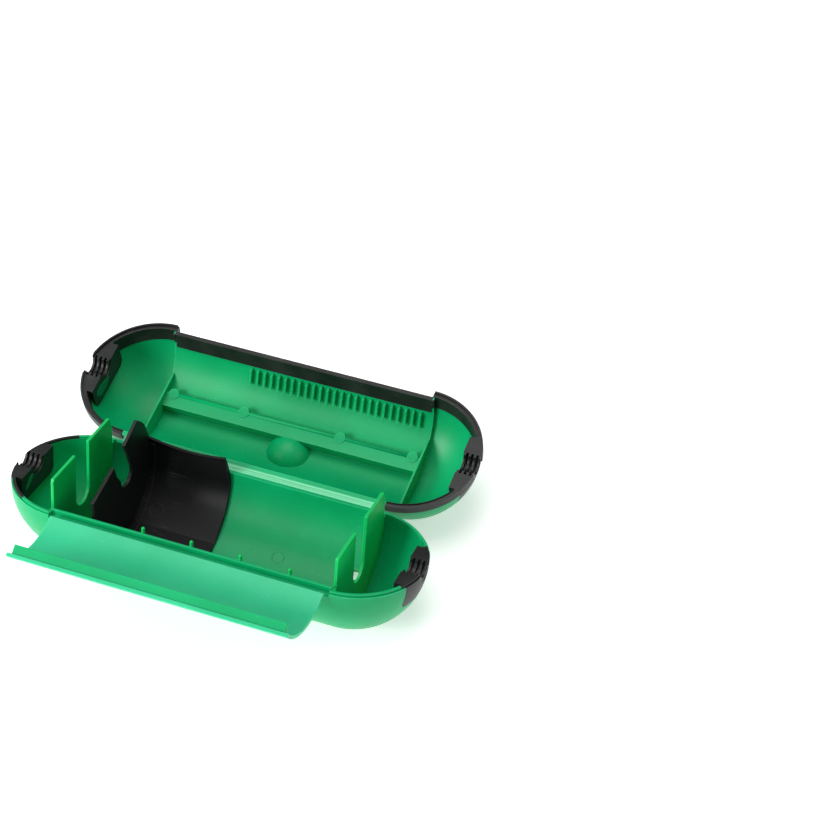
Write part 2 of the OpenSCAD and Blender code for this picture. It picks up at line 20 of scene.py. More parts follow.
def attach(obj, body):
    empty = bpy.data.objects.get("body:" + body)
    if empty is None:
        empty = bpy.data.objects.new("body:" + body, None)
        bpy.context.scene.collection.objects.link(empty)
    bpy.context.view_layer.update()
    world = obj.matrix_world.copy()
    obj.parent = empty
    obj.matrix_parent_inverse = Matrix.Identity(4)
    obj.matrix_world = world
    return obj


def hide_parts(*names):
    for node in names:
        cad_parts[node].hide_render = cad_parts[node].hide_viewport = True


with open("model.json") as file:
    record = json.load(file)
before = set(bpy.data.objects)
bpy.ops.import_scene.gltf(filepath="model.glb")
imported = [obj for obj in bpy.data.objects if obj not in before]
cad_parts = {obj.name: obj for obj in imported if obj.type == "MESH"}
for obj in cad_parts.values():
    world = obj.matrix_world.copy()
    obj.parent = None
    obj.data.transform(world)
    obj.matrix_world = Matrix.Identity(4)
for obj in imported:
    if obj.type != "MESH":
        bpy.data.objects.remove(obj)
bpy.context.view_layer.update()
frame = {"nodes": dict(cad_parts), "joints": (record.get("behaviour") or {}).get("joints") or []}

LOG = logging.getLogger("cable_box")
MM = 0.001
LID_HINGE = Vector((0.0, 38.17, -0.7))
LATCH_HINGE = Vector((0.0, -36.1, -1.7))
ALONG_X = Matrix.Rotation(math.radians(90), 3, "Y")
UP = (0.0, 0.0, 1.0)


class Slot(Enum):
    """Material slots of the record."""

    GREEN = "case_green"
    FILM = "hinge_film"
    RUBBER = "seal_rubber"
    BLACK = "slider_black"


class Body(Enum):
    """Bodies that pieces ride on."""

    BASE = "base"
    LID = "lid"
    LATCH = "latch"
    SLIDER = "slider"


# ---- Shader maths ----------------------------------------------------------


class Signal:
    """A number in a shader that Python's operators act on by adding Math nodes."""

    def __init__(self, graph: "Graph", socket: bpy.types.NodeSocket) -> None:
        """Wraps an output socket."""
        self.graph = graph
        self.socket = socket

    def _math(self, operation: str, *values: Any, clamp: bool = False) -> "Signal":
        """Adds a Math node.

        Args:
            operation: The node's operation.
            values: Signals or numbers for its inputs, in order.
            clamp: Whether the result is held between 0 and 1.

        Returns:
            The node's value.
        """
        node = self.graph.node(
            "ShaderNodeMath",
            {"operation": operation, "use_clamp": clamp},
            dict(enumerate(values)),
        )
        return Signal(self.graph, node.outputs[0])

    def __add__(self, other: Any) -> "Signal":
        """Sum."""
        return self._math("ADD", self, other)

    def __radd__(self, other: Any) -> "Signal":
        """Sum with the number first."""
        return self._math("ADD", other, self)

    def __sub__(self, other: Any) -> "Signal":
        """Difference."""
        return self._math("SUBTRACT", self, other)

    def __rsub__(self, other: Any) -> "Signal":
        """Difference with the number first."""
        return self._math("SUBTRACT", other, self)

    def __mul__(self, other: Any) -> "Signal":
        """Product."""
        return self._math("MULTIPLY", self, other)

    def __rmul__(self, other: Any) -> "Signal":
        """Product with the number first."""
        return self._math("MULTIPLY", other, self)

    def held(self) -> "Signal":
        """The value held between 0 and 1."""
        return self._math("ADD", self, 0.0, clamp=True)

    def over(self, low: float, high: float) -> "Signal":
        """Rises from 0 at low to 1 at high, smoothly.

        Args:
            low: Value that gives 0.
            high: Value that gives 1.

        Returns:
            The smooth step.
        """
        node = self.graph.node(
            "ShaderNodeMapRange",
            {"interpolation_type": "SMOOTHSTEP"},
            {"Value": self, "From Min": low, "From Max": high},
        )
        return Signal(self.graph, node.outputs["Result"])


class Graph:
    """The node tree of one material."""

    def __init__(self, name: str) -> None:
        """Makes a material with an empty node tree."""
        self.material = bpy.data.materials.new(name)
        self.material.use_nodes = True
        self.tree = self.material.node_tree
        self.tree.nodes.clear()

    def node(
        self, kind: str, settings: Optional[dict] = None, inputs: Optional[dict] = None
    ) -> bpy.types.Node:
        """Adds a node.

        Args:
            kind: The node's type.
            settings: Its properties, set before its sockets; "stops" holds a ramp's.
            inputs: Values, signals or sockets by input name or number.

        Returns:
            The node.
        """
        node = self.tree.nodes.new(kind)
        for key, value in (settings or {}).items():
            if key == "stops":
                ramp = node.color_ramp
                while len(ramp.elements) < len(value):
                    ramp.elements.new(0.5)
                for element, (place, colour) in zip(ramp.elements, value):
                    element.position = place
                    element.color = colour
            else:
                setattr(node, key, value)
        for key, value in (inputs or {}).items():
            socket = node.inputs[key]
            if isinstance(value, Signal):
                self.tree.links.new(value.socket, socket)
            elif isinstance(value, bpy.types.NodeSocket):
                self.tree.links.new(value, socket)
            else:
                socket.default_value = value
        return node

    def place(
        self, turn: tuple = (0.0, 0.0, 0.0), stretch: tuple = (1.0, 1.0, 1.0)
    ) -> bpy.types.NodeSocket:
        """Object coordinates, turned and stretched.

        Args:
            turn: Angles in radians about the axes.
            stretch: Factors along the axes.

        Returns:
            The vector socket.
        """
        coordinates = self.node("ShaderNodeTexCoord")
        mapping = self.node(
            "ShaderNodeMapping",
            {},
            {"Vector": coordinates.outputs["Object"], "Rotation": turn, "Scale": stretch},
        )
        return mapping.outputs["Vector"]

    def noise(
        self, vector: bpy.types.NodeSocket, scale: float, detail: float = 2.0, rough: float = 0.5
    ) -> Signal:
        """Noise between 0 and 1.

        Args:
            vector: Where it is read.
            scale: Waves per metre.
            detail: Octaves.
            rough: Share of the finer octaves.

        Returns:
            The noise.
        """
        node = self.node(
            "ShaderNodeTexNoise",
            {},
            {"Vector": vector, "Scale": scale, "Detail": detail, "Roughness": rough},
        )
        return Signal(self, node.outputs["Fac"])

    def specks(self, vector: bpy.types.NodeSocket, scale: float, size: float) -> Signal:
        """Scattered round specks, 1 at their middle.

        Args:
            vector: Where they are read.
            scale: Cells per metre.
            size: Radius of a speck as a share of a cell.

        Returns:
            The mask.
        """
        node = self.node("ShaderNodeTexVoronoi", {}, {"Vector": vector, "Scale": scale})
        return 1.0 - Signal(self, node.outputs["Distance"]).over(size * 0.5, size)

    def mix(self, factor: Any, first: Any, second: Any) -> bpy.types.NodeSocket:
        """Mixes two colours.

        Args:
            factor: Share of the second.
            first: Colour or socket.
            second: Colour or socket.

        Returns:
            The colour socket.
        """
        node = self.node("ShaderNodeMix", {"data_type": "RGBA"}, {0: factor, 6: first, 7: second})
        return node.outputs[2]

    def edges(self, radius: float) -> Signal:
        """Marks what lies near an edge.

        Args:
            radius: Distance from the edge in metres.

        Returns:
            The mask, 1 on the edge.
        """
        rounded = self.node("ShaderNodeBevel", {"samples": 6}, {"Radius": radius})
        geometry = self.node("ShaderNodeNewGeometry")
        dot = self.node(
            "ShaderNodeVectorMath",
            {"operation": "DOT_PRODUCT"},
            {0: rounded.outputs["Normal"], 1: geometry.outputs["Normal"]},
        )
        return (1.0 - Signal(self, dot.outputs["Value"])).over(0.01, 0.22)

    def surface(
        self, constants: dict, colour: Any, roughness: Any, height: Any, bump: float
    ) -> bpy.types.Material:
        """Ends the tree with a Principled shader.

        Args:
            constants: Values set on its own sockets.
            colour: Base colour.
            roughness: Roughness.
            height: Height in metres that the bump reads.
            bump: Strength of the bump.

        Returns:
            The material.
        """
        relief = self.node(
            "ShaderNodeBump", {}, {"Strength": bump, "Distance": 1.0, "Height": height}
        )
        varying = {
            "Base Color": colour,
            "Roughness": roughness,
            "Normal": relief.outputs["Normal"],
        }
        shader = self.node("ShaderNodeBsdfPrincipled", {}, {**varying, **constants})
        self.node("ShaderNodeOutputMaterial", {}, {"Surface": shader.outputs["BSDF"]})
        return self.material


def tone(red: float, green: float, blue: float) -> tuple:
    """A colour with full alpha."""
    return (red, green, blue, 1.0)


# ---- Finishes --------------------------------------------------------------


@dataclass(frozen=True)
class GreenMoulding:
    """Glossy polypropylene with flow marks, fine scuffs, and edges painted pale as highlights."""

    name: str = "moulded_green"
    body: tuple = tone(0.0, 0.370, 0.132)
    deep: tuple = tone(0.0, 0.310, 0.106)
    # pale: the colour of the painted highlight along the edges
    pale: tuple = tone(0.08, 0.70, 0.36)
    rough: float = 0.40
    scuffed: tuple = tone(0.36, 0.78, 0.55)
    painted_highlight_edge: float = 0.00055

    def material(self) -> bpy.types.Material:
        """Builds the node material."""
        graph = Graph(self.name)
        place = graph.place()
        flow = graph.place(stretch=(6.0, 40.0, 40.0))
        cloud = graph.noise(place, 24.0, 3.0)
        streak = graph.noise(flow, 6.0, 3.0, 0.6)
        grain = graph.noise(place, 1900.0, 2.0)
        waves = graph.noise(place, 130.0, 2.0)
        across = graph.place((0.3, 0.2, 0.5), (30.0, 900.0, 260.0))
        scuff_run = graph.noise(across, 2.2, 3.0, 0.7).over(0.66, 0.74)
        scuff_area = graph.noise(place, 45.0, 2.0).over(0.50, 0.66)
        scuffs = scuff_run * scuff_area
        dust = graph.specks(place, 330.0, 0.10) * graph.noise(place, 60.0).over(0.52, 0.60)
        # Painted highlight: edges are mixed towards the pale colour, standing in for light catching
        # them.
        edge = graph.edges(self.painted_highlight_edge)
        tint = graph.mix(cloud.over(0.32, 0.68) * 0.75 + streak * 0.25, self.deep, self.body)
        tint = graph.mix((edge * 0.62).held(), tint, self.pale)
        tint = graph.mix((scuffs * 0.22 + dust * 0.30).held(), tint, self.scuffed)
        roughness = self.rough + (cloud - 0.5) * 0.10 + scuffs * 0.25 + dust * 0.2
        height = waves * 0.00003 + grain * 0.000006 - scuffs * 0.00001
        return graph.surface(
            {
                "IOR": 1.49,
                "Specular IOR Level": 0.24,
                "Subsurface Weight": 0.30,
                "Subsurface Radius": (0.2, 2.8, 1.0),
                "Subsurface Scale": 0.0016,
            },
            tint, roughness, height, 0.7,
        )


class Tint(Enum):
    """Lit and shaded copies of the green moulding: painted lighter where light falls on or shines
    through a part, painted darker where it lies in shade.
    """

    # The latch panel, painted lighter: a painted sheen for the light falling on its outer face.
    LIT_PANEL = "thin latch panel"
    # Partitions and pegs, painted brighter: painted light standing in for light shining through the
    # thin walls.
    LIT_WALL = "thin upright wall"
    # Green showing in the gland openings, painted darker: painted shade of the recess.
    SHADED_CORE = "core under the rubber"


GREENS = {
    Tint.LIT_PANEL: GreenMoulding(
        name="moulded_green_lit_panel",
        body=tone(0.035, 0.48, 0.245),
        deep=tone(0.020, 0.43, 0.205),
        pale=tone(0.20, 0.76, 0.50),
        rough=0.36,
    ),
    Tint.LIT_WALL: GreenMoulding(
        name="moulded_green_lit_wall",
        body=tone(0.0, 0.47, 0.105),
        deep=tone(0.0, 0.40, 0.085),
        pale=tone(0.08, 0.76, 0.34),
        rough=0.38,
    ),
    Tint.SHADED_CORE: GreenMoulding(
        name="moulded_green_shaded_core",
        body=tone(0.0, 0.215, 0.075),
        deep=tone(0.0, 0.160, 0.055),
        pale=tone(0.02, 0.34, 0.15),
        rough=0.42,
    ),
}


@dataclass(frozen=True)
class FilmHinge:
    """Stretched polypropylene, whitened by bending, with fine lines along the fold."""

    name: str = "film_green"
    body: tuple = tone(0.05, 0.46, 0.20)
    worn: tuple = tone(0.20, 0.66, 0.38)

    def material(self) -> bpy.types.Material:
        """Builds the node material."""
        graph = Graph(self.name)
        place = graph.place()
        lines = graph.noise(graph.place(stretch=(4.0, 900.0, 900.0)), 1.0, 3.0, 0.6)
        blush = graph.noise(graph.place(stretch=(12.0, 60.0, 60.0)), 2.0, 3.0)
        grain = graph.noise(place, 1500.0, 2.0)
        tint = graph.mix((lines.over(0.35, 0.7) * 0.6 + blush * 0.4).held(), self.body, self.worn)
        roughness = 0.42 + (blush - 0.5) * 0.15
        return graph.surface(
            {
                "IOR": 1.49,
                "Subsurface Weight": 0.2,
                "Subsurface Radius": (0.6, 2.0, 1.2),
                "Subsurface Scale": 0.001,
            },
            tint, roughness, lines * 0.00004 + grain * 0.000005, 0.6,
        )


@dataclass(frozen=True)
class SoftRubber:
    """Overmoulded thermoplastic rubber, satin, with dust, rubs, and edges painted grey as
    highlights.
    """

    name: str = "black_rubber"
    body: tuple = tone(0.006, 0.0065, 0.0065)
    grey: tuple = tone(0.060, 0.062, 0.062)
    rough: float = 0.42
    painted_highlight_edge: float = 0.0004

    def material(self) -> bpy.types.Material:
        """Builds the node material."""
        graph = Graph(self.name)
        place = graph.place()
        cloud = graph.noise(place, 60.0, 3.0)
        grain = graph.noise(place, 2400.0, 2.0)
        pores = graph.noise(place, 420.0, 3.0, 0.6)
        along = graph.place((0.1, 0.4, 0.2), (120.0, 500.0, 500.0))
        rubs = graph.noise(along, 1.6, 3.0, 0.65).over(0.62, 0.72)
        dust = graph.specks(place, 420.0, 0.10) * graph.noise(place, 80.0).over(0.50, 0.62)
        edge = graph.edges(self.painted_highlight_edge)
        # Real wear, rubs and dust, plus a painted highlight along the edges, all mixed towards grey.
        worn = cloud.over(0.3, 0.75) * 0.22 + edge * 0.45 + rubs * 0.25 + dust * 0.5
        tint = graph.mix(worn.held(), self.body, self.grey)
        roughness = self.rough + (cloud - 0.5) * 0.12 + dust * 0.2 + rubs * 0.1
        return graph.surface(
            {"IOR": 1.5, "Specular IOR Level": 0.32},
            tint, roughness, pores * 0.00003 + grain * 0.000008, 0.8,
        )


@dataclass(frozen=True)
class BlackMoulding:
    """Black polypropylene, glossier than the rubber, with drag marks from sliding and edges painted
    grey as highlights.
    """

    name: str = "moulded_black"
    body: tuple = tone(0.006, 0.006, 0.0065)
    grey: tuple = tone(0.075, 0.075, 0.078)
    rough: float = 0.44
    painted_highlight_edge: float = 0.0004

    def material(self) -> bpy.types.Material:
        """Builds the node material."""
        graph = Graph(self.name)
        place = graph.place()
        cloud = graph.noise(place, 50.0, 3.0)
        grain = graph.noise(place, 2100.0, 2.0)
        waves = graph.noise(place, 160.0, 2.0)
        aslant = graph.place((0.0, 0.0, 0.35), (90.0, 1100.0, 700.0))
        drags = graph.noise(aslant, 1.2, 2.0, 0.7).over(0.60, 0.70)
        zone = graph.noise(place, 55.0, 2.0).over(0.45, 0.62)
        dust = graph.specks(place, 380.0, 0.09) * graph.noise(place, 70.0).over(0.52, 0.62)
        edge = graph.edges(self.painted_highlight_edge)
        # Drag marks and dust are real wear; the edge term is a painted highlight along the edges.
        worn = edge * 0.45 + drags * zone * 0.28 + dust * 0.4
        tint = graph.mix(worn.held(), self.body, self.grey)
        roughness = self.rough + (cloud - 0.5) * 0.14 + drags * zone * 0.16
        return graph.surface(
            {"IOR": 1.49, "Specular IOR Level": 0.26},
            tint, roughness, waves * 0.00003 + grain * 0.000006 + drags * 0.00001, 0.7,
        )


@dataclass
class Finishes:
    """The materials of all pieces, made once."""

    made: dict = field(default_factory=dict)
    makers: dict = field(
        default_factory=lambda: {
            Slot.GREEN: GreenMoulding(),
            Slot.FILM: FilmHinge(),
            Slot.RUBBER: SoftRubber(),
            Slot.BLACK: BlackMoulding(),
        }
    )

    def of(self, slot: Slot, tint: Optional[Tint] = None) -> bpy.types.Material:
        """The material of a slot or of a tint of the green moulding, built on first use."""
        wanted = tint or slot
        if wanted not in self.made:
            maker = GREENS[tint] if tint else self.makers[slot]
            self.made[wanted] = maker.material()
        return self.made[wanted]


# ---- Places ----------------------------------------------------------------


@dataclass
class Places:
    """Where each body lies open, worked out from the record's joints."""

    matrices: dict = field(default_factory=dict)

    def __post_init__(self) -> None:
        """Reads the joints and builds one matrix for each body."""
        joints = {joint["name"]: joint for joint in frame["joints"]}
        lid, latch = joints["lid_hinge"], joints["latch_hinge"]
        lid_at, latch_at = Vector(lid["pos_m"]) / MM, Vector(latch["pos_m"]) / MM
        drawn = LID_HINGE - LATCH_HINGE
        placed = lid_at - latch_at
        tilt = math.atan2(placed.z, placed.y) - math.atan2(drawn.z, drawn.y)
        open_lid = math.radians(-lid["range_deg"][1])
        open_latch = math.radians(-latch["range_deg"][0])
        self.matrices = {
            Body.BASE: self._about(lid_at, LID_HINGE, tilt),
            Body.SLIDER: self._about(lid_at, LID_HINGE, tilt),
            Body.LID: self._about(lid_at, LID_HINGE, tilt + open_lid),
            Body.LATCH: self._about(latch_at, LATCH_HINGE, tilt + open_latch),
        }

    @staticmethod
    def _about(placed: Vector, drawn: Vector, turn: float) -> Matrix:
        """The matrix that turns about X at a drawn point and puts it where it lies.

        Args:
            placed: The point in the row frame, in millimetres.
            drawn: The same point in the closed frame.
            turn: Angle in radians.

        Returns:
            A matrix from closed millimetres to row metres.
        """
        scale = Matrix.Scale(MM, 4)
        turned = Matrix.Rotation(turn, 4, "X")
        return scale @ Matrix.Translation(placed) @ turned @ Matrix.Translation(-drawn)


# ---- Shaping ---------------------------------------------------------------


@dataclass
class Workshop:
    """Makes meshes with bmesh operators and hands them over as finished pieces."""

    places: Places
    finishes: Finishes
    count: int = 0
    weld_m: float = 0.000002
    flat: float = 0.4
    leaf_round: float = 1.6
    ring_shoulder: float = 0.6
    ring_steps: int = 36

    def copy_of(self, node: str) -> bmesh.types.BMesh:
        """A merged copy of a CAD node's mesh, with its flat faces joined.

        Args:
            node: The CAD node.

        Returns:
            The bmesh, in the row frame in metres.
        """
        mesh = bmesh.new()
        mesh.from_mesh(frame["nodes"][node].data)
        bmesh.ops.remove_doubles(mesh, verts=mesh.verts, dist=self.weld_m)
        bmesh.ops.dissolve_degenerate(mesh, edges=mesh.edges, dist=self.weld_m)
        bmesh.ops.dissolve_limit(
            mesh, angle_limit=math.radians(self.flat), verts=mesh.verts, edges=mesh.edges
        )
        return mesh

    @staticmethod
    def pull(mesh: bmesh.types.BMesh, points: Sequence, along: Vector) -> list:
        """Extrudes the faces whose corners are all among some points.

        Args:
            mesh: The bmesh.
            points: The corners.
            along: How far they are moved.

        Returns:
            All corners of the closed body.
        """
        chosen = set(points)
        faces = [face for face in mesh.faces if all(corner in chosen for corner in face.verts)]
        made = bmesh.ops.extrude_face_region(mesh, geom=faces, use_keep_orig=True)
        moved = [item for item in made["geom"] if isinstance(item, bmesh.types.BMVert)]
        bmesh.ops.translate(mesh, verts=moved, vec=along)
        return list(chosen) + moved

    def profile(self, outline: Sequence[tuple], start: float, end: float) -> bmesh.types.BMesh:
        """A prism along X.

        Args:
            outline: Its corners in the (y, z) plane.
            start: Where it starts along X.
            end: Where it ends.

        Returns:
            The bmesh, in closed millimetres.
        """
        mesh = bmesh.new()
        corners = [mesh.verts.new((start, y, z)) for y, z in outline]
        mesh.faces.new(corners)
        self.pull(mesh, corners, Vector((end - start, 0.0, 0.0)))
        bmesh.ops.recalc_face_normals(mesh, faces=mesh.faces)
        return mesh

    def leaf(
        self, outline: Sequence[tuple], face: float, proud: float, side: int
    ) -> bmesh.types.BMesh:
        """A thin plate with a softly curved outline, on the inner face of a gland.

        Args:
            outline: Corners of its control outline in the (y, z) plane.
            face: Distance of the gland's inner face from the middle.
            proud: How far the plate stands out of it.
            side: 1 for the right end and -1 for the left end.

        Returns:
            The bmesh, in closed millimetres.
        """
        mesh = self.profile(outline, side * (face - proud), side * (face + proud))
        upright = [
            edge for edge in mesh.edges
            if abs(edge.verts[0].co.x - edge.verts[1].co.x) > proud
        ]
        bmesh.ops.bevel(
            mesh, geom=upright, offset=self.leaf_round, segments=6, profile=0.5, material=-1,
            affect="EDGES", clamp_overlap=True,
        )
        bmesh.ops.recalc_face_normals(mesh, faces=mesh.faces)
        return mesh

    def turned(
        self, section: Sequence[tuple], hub: float, start: float, sweep: float, steps: int
    ) -> bmesh.types.BMesh:
        """A section turned about an upright axis by part of a turn.

        Args:
            section: Its corners as radius and height.
            hub: Where the axis stands along X.
            start: Angle in degrees at which it starts, 0 pointing along X.
            sweep: Angle that it is turned by.
            steps: Steps of the turn.

        Returns:
            The bmesh, in closed millimetres.
        """
        mesh = bmesh.new()
        corners = [mesh.verts.new((hub + radius, 0.0, height)) for radius, height in section]
        face = mesh.faces.new(corners)
        hub_at = (hub, 0.0, 0.0)
        bmesh.ops.rotate(
            mesh, verts=corners, cent=hub_at, matrix=Matrix.Rotation(math.radians(start), 3, "Z")
        )
        bmesh.ops.spin(
            mesh, geom=[face, *face.edges, *corners], cent=hub_at, axis=UP, dvec=(0.0, 0.0, 0.0),
            angle=math.radians(sweep), steps=steps, use_merge=False, use_duplicate=False,
        )
        bmesh.ops.remove_doubles(mesh, verts=mesh.verts, dist=0.001)
        bmesh.ops.holes_fill(mesh, edges=[edge for edge in mesh.edges if edge.is_boundary], sides=0)
        bmesh.ops.recalc_face_normals(mesh, faces=mesh.faces)
        return mesh

    def rod(
        self, mesh: bmesh.types.BMesh, radius: float, steps: int, half: float, axis: tuple
    ) -> None:
        """Adds a round rod along X, with its middle at x = 0.

        Args:
            mesh: The bmesh that it is added to.
            radius: Its radius.
            steps: Corners of its section.
            half: Half its length.
            axis: Where its axis lies, as y and z.
        """
        section = bmesh.ops.create_circle(mesh, segments=steps, radius=radius, cap_ends=True)
        bmesh.ops.rotate(mesh, verts=section["verts"], matrix=ALONG_X)
        bmesh.ops.translate(mesh, verts=section["verts"], vec=(-half, *axis))
        self.pull(mesh, section["verts"], Vector((2 * half, 0.0, 0.0)))

    @staticmethod
    def join(mesh: bmesh.types.BMesh, *others: bmesh.types.BMesh) -> bmesh.types.BMesh:
        """Adds other bmeshes to one and frees them.

        Args:
            mesh: The bmesh that grows.
            others: The ones that are added.

        Returns:
            The grown bmesh.
        """
        for other in others:
            data = bpy.data.meshes.new("joined")
            other.to_mesh(data)
            other.free()
            mesh.from_mesh(data)
            bpy.data.meshes.remove(data)
        return mesh

    def ring(self, mesh: bmesh.types.BMesh, radius: float, width: float, height: float) -> list:
        """A low round ring about Z, rooted below z = 0.

        Args:
            mesh: The bmesh that it is added to.
            radius: Its middle radius.
            width: Its width.
            height: Its height over z = 0, and its depth under it.

        Returns:
            Its corners.
        """
        inner, outer = radius - width / 2, radius + width / 2
        shoulder = height * self.ring_shoulder
        outline = (
            (inner, -height), (outer, -height),
            (outer, shoulder), (radius, height), (inner, shoulder),
        )
        section = [mesh.verts.new((reach, 0.0, rise)) for reach, rise in outline]
        face = mesh.faces.new(section)
        bmesh.ops.spin(
            mesh, geom=[face, *face.edges, *section], cent=(0.0, 0.0, 0.0), axis=UP,
            dvec=(0.0, 0.0, 0.0), angle=math.tau, steps=self.ring_steps, use_merge=True,
            use_duplicate=False,
        )
        whole = set(section)
        grown = True
        while grown:
            linked = {edge.other_vert(corner) for corner in whole for edge in corner.link_edges}
            grown = not linked <= whole
            whole |= linked
        inside = [
            item for item in mesh.faces
            if len(item.verts) == len(section) and all(corner in whole for corner in item.verts)
        ]
        bmesh.ops.delete(mesh, geom=inside, context="FACES_ONLY")
        bmesh.ops.recalc_face_normals(mesh, faces=mesh.faces)
        return list(whole)

    def lift(self, mesh: bmesh.types.BMesh, body: Body) -> None:
        """Moves a bmesh from where its body lies to closed millimetres.

        Args:
            mesh: The bmesh.
            body: The body.
        """
        bmesh.ops.transform(mesh, matrix=self.places.matrices[body].inverted(), verts=mesh.verts)

    def put(self, mesh: bmesh.types.BMesh, body: Body) -> None:
        """Moves a bmesh from closed millimetres to where its body lies.

        Args:
            mesh: The bmesh.
            body: The body.
        """
        bmesh.ops.transform(mesh, matrix=self.places.matrices[body], verts=mesh.verts)

    def hand_over(
        self, mesh: bmesh.types.BMesh, name: str, body: Body, slot: Slot, nodes: Iterable[str],
        edge: float = 0.25, segments: int = 2, corner: float = 32.0, tint: Optional[Tint] = None,
    ) -> bpy.types.Object:
        """Turns a bmesh into a finished piece that rides on a body.

        Args:
            mesh: The bmesh, in the row frame in metres. It is freed.
            name: The piece's name.
            body: The body it rides on.
            slot: Its material slot.
            nodes: The CAD nodes that it stands for.
            edge: Width of its rounded edges in millimetres, 0 for none.
            segments: Segments of those edges.
            corner: Least angle in degrees at which an edge is rounded.
            tint: A tint of the green moulding other than the usual one.

        Returns:
            The object.
        """
        for face in mesh.faces:
            face.smooth = True
        data = bpy.data.meshes.new(name)
        mesh.to_mesh(data)
        mesh.free()
        piece = bpy.data.objects.new(name, data)
        bpy.context.scene.collection.objects.link(piece)
        data.materials.append(self.finishes.of(slot, tint))
        if edge:
            bevel = piece.modifiers.new("rounded_edges", "BEVEL")
            bevel.width = edge * MM
            bevel.segments = segments
            bevel.limit_method = "ANGLE"
            bevel.angle_limit = math.radians(corner)
            bevel.harden_normals = False
            bevel.use_clamp_overlap = True
            bevel.miter_outer = "MITER_ARC"
            shading = piece.modifiers.new("even_shading", "WEIGHTED_NORMAL")
            shading.keep_sharp = True
        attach(piece, body.value)
        if nodes:
            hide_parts(*nodes)
        self.count += 1
        LOG.info("%s: %d faces, rides on %s", name, len(data.polygons), body.value)
        return piece


# ---- Sub-assemblies --------------------------------------------------------


@dataclass
class Part:
    """What every sub-assembly has: the workshop, and copies of CAD nodes with rounded edges."""

    shop: Workshop

    def soften(
        self, node: str, body: Body, slot: Slot, edge: float = 0.2, segments: int = 2,
        tint: Optional[Tint] = None,
    ) -> None:
        """Hands over a copy of a CAD node with rounded edges.

        Args:
            node: The CAD node.
            body: The body it rides on.
            slot: Its material slot.
            edge: Width of its rounded edges in millimetres.
            segments: Segments of those edges.
            tint: A tint of the green moulding other than the usual one.
        """
        mesh = self.shop.copy_of(node)
        self.shop.hand_over(
            mesh, node + "_piece", body, slot, [node], edge=edge, segments=segments, tint=tint
        )


@dataclass
class GlandedHalf(Part):
    """A half of the case, which has a rubber gland at each end."""

    gland_face: float = 97.5
    window: tuple = ()
    window_proud: float = 0.25

    def gland(self, half: str, body: Body, side: int, name: str) -> None:
        """One end's gland, and the green core in the pointed opening of its inner face, painted
        darker as the shade in that recess.

        Args:
            half: Name of the half.
            body: The body it rides on.
            side: 1 for the right end and -1 for the left end.
            name: Name of the side.
        """
        self.soften(f"{half}_gland_{name}", body, Slot.RUBBER, 0.25, 2)
        mesh = self.shop.leaf(self.window, self.gland_face, self.window_proud, side)
        self.shop.put(mesh, body)
        # Painted shade: the core takes the darker copy of the green.
        self.shop.hand_over(
            mesh, f"{half}_gland_core_{name}", body, Slot.GREEN, [],
            edge=0.08, segments=1, tint=Tint.SHADED_CORE,
        )


@dataclass
class BaseHalf(GlandedHalf):
    """Lower half: tray, rims, partitions, pegs, drain and rubber glands."""

    centre: float = -2.3
    inner: float = 33.9
    ring_r: float = 3.0
    ring_t: float = 0.3
    ring_up: float = 0.18
    ring_places: tuple = ((25.4, 31.0), (2.0, -24.0))
    rib_count: int = 4
    leaf_half: float = 69.0
    leaf_root: float = 35.95
    leaf_from: float = 36.0
    leaf_to: float = 38.17
    leaf_top: float = -0.85
    leaf_low: float = -2.25
    rib_up: float = 0.22
    film_r: float = 0.4
    film_steps: int = 20
    window: tuple = (
        (-4.6, -4.4), (-8.6, -8.2), (-13.4, -9.8), (-12.8, -7.4), (-9.0, -4.2), (-6.2, -3.2),
    )

    def build(self) -> None:
        """Builds the pieces of the lower half."""
        for node in (
            "base_shell", "base_latch_leaf", "base_front_lip",
            "base_rim_lip_left", "base_rim_lip_right", "base_drain_collar",
        ):
            self.soften(node, Body.BASE, Slot.GREEN)
        # Partitions and pegs take the brighter copy of the green: painted light shining through
        # them.
        for node in ("base_partition_left", "base_partition_right", "base_locating_pegs"):
            self.soften(node, Body.BASE, Slot.GREEN, tint=Tint.LIT_WALL)
        self._hinge_leaf()
        self._floor_rings()
        for side, name in ((-1, "left"), (1, "right")):
            self.gland("base", Body.BASE, side, name)

    def _hinge_leaf(self) -> None:
        """The film hinge's leaf on this side: a ribbed strip with the rolled film at its edge."""
        step = (self.leaf_to - self.leaf_from) / self.rib_count
        outline = [(self.leaf_root, self.leaf_low), (self.leaf_to, self.leaf_low)]
        for turn in range(2 * self.rib_count + 1):
            rise = self.rib_up if turn % 2 else 0.0
            outline.append((self.leaf_to - step * (turn / 2), self.leaf_top + rise))
        mesh = self.shop.profile(outline, -self.leaf_half, self.leaf_half)
        axis = (LID_HINGE.y, LID_HINGE.z)
        self.shop.rod(mesh, self.film_r, self.film_steps, self.leaf_half, axis)
        self.shop.put(mesh, Body.BASE)
        self.shop.hand_over(
            mesh, "base_hinge_leaf_piece", Body.BASE, Slot.FILM, ["base_hinge_leaf"],
            edge=0.06, segments=1,
        )

    def _floor_rings(self) -> None:
        """Shallow rings that the ejector pins left in the floor."""
        mesh = bmesh.new()
        for place, angle in self.ring_places:
            ring = self.shop.ring(mesh, self.ring_r, self.ring_t, self.ring_up)
            turn = Matrix.Rotation(math.radians(angle), 4, "X")
            deep = Matrix.Translation((0.0, 0.0, -self.inner + self.ring_up * 0.5))
            stand = Matrix.Translation((place, 0.0, self.centre))
            bmesh.ops.transform(mesh, matrix=stand @ turn @ deep, verts=ring)
        self.shop.put(mesh, Body.BASE)
        self.shop.hand_over(mesh, "base_ejector_rings", Body.BASE, Slot.GREEN, [], edge=0.0)


